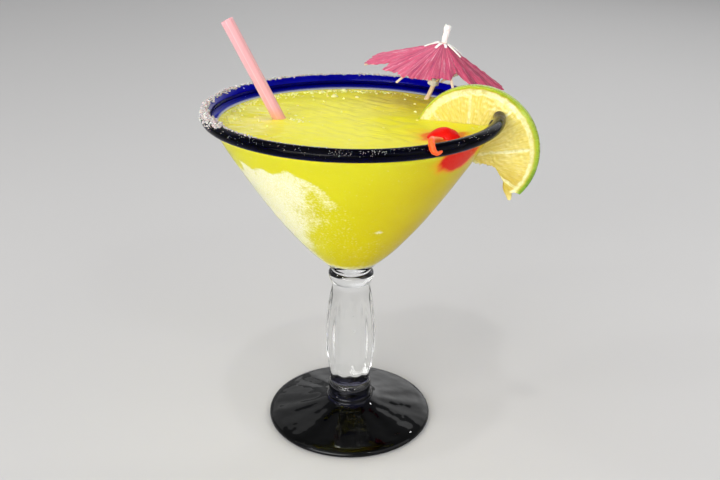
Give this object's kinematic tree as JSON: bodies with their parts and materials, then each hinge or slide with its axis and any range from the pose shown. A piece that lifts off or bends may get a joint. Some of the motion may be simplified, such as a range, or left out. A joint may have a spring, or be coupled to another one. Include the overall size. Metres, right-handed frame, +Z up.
{
  "type": "margarita cocktail",
  "caption": "Frozen margarita in a stemmed glass with a cobalt rim and foot, with salt, straw, lime slice, cherry and paper umbrella.",
  "frame": {"origin": "centre of the foot's flat underside, on the surface that the glass stands on", "axes": "+Z up along the glass's axis, -Y towards the side with the cherry stem, +X towards the lime slice"},
  "size_m": [0.1423, 0.137, 0.1858],
  "materials": {
    "clear_glass": "clear hand-blown glass, smooth and glossy, with a few small bubbles",
    "cobalt_glass": "deep cobalt glass, glossy, almost black where it is thick; salt is caught on the rim",
    "margarita_drink": "cloudy yellow-green blended drink with fine ice and a wet surface",
    "pink_plastic": "thin pale pink plastic that lets light through",
    "lime_flesh": "pale wet pulp in segments, cream pith and green skin",
    "cherry_skin": "bright red, glossy, syrupy skin",
    "cherry_stalk": "orange-red, wet, a little see-through",
    "pink_paper": "thin crinkled tissue paper dyed magenta",
    "white_paper": "plain white paper and card",
    "pale_wood": "bare pale wood, matte"
  },
  "bodies": {
    "root": {"bowl": "clear_glass", "stem": "clear_glass", "rim": "cobalt_glass", "foot": "cobalt_glass", "drink": "margarita_drink", "straw": "pink_plastic", "lime_slice": "lime_flesh", "cherry": "cherry_skin", "cherry_stem": "cherry_stalk", "umbrella_canopy": "pink_paper", "umbrella_finial": "white_paper", "umbrella_collar": "white_paper", "umbrella_stick": "pale_wood", "umbrella_rib_1": "pale_wood", "umbrella_rib_2": "pale_wood", "umbrella_rib_3": "pale_wood", "umbrella_rib_4": "pale_wood", "umbrella_rib_5": "pale_wood", "umbrella_rib_6": "pale_wood", "umbrella_rib_7": "pale_wood", "umbrella_rib_8": "pale_wood", "umbrella_stretcher_1": "pale_wood", "umbrella_stretcher_2": "pale_wood", "umbrella_stretcher_3": "pale_wood", "umbrella_stretcher_4": "pale_wood", "umbrella_stretcher_5": "pale_wood", "umbrella_stretcher_6": "pale_wood", "umbrella_stretcher_7": "pale_wood", "umbrella_stretcher_8": "pale_wood", "umbrella_arm_1": "white_paper", "umbrella_arm_2": "white_paper", "umbrella_arm_3": "white_paper", "umbrella_arm_4": "white_paper", "umbrella_arm_5": "white_paper", "umbrella_arm_6": "white_paper", "umbrella_arm_7": "white_paper", "umbrella_arm_8": "white_paper"}
  },
  "joints": []
}
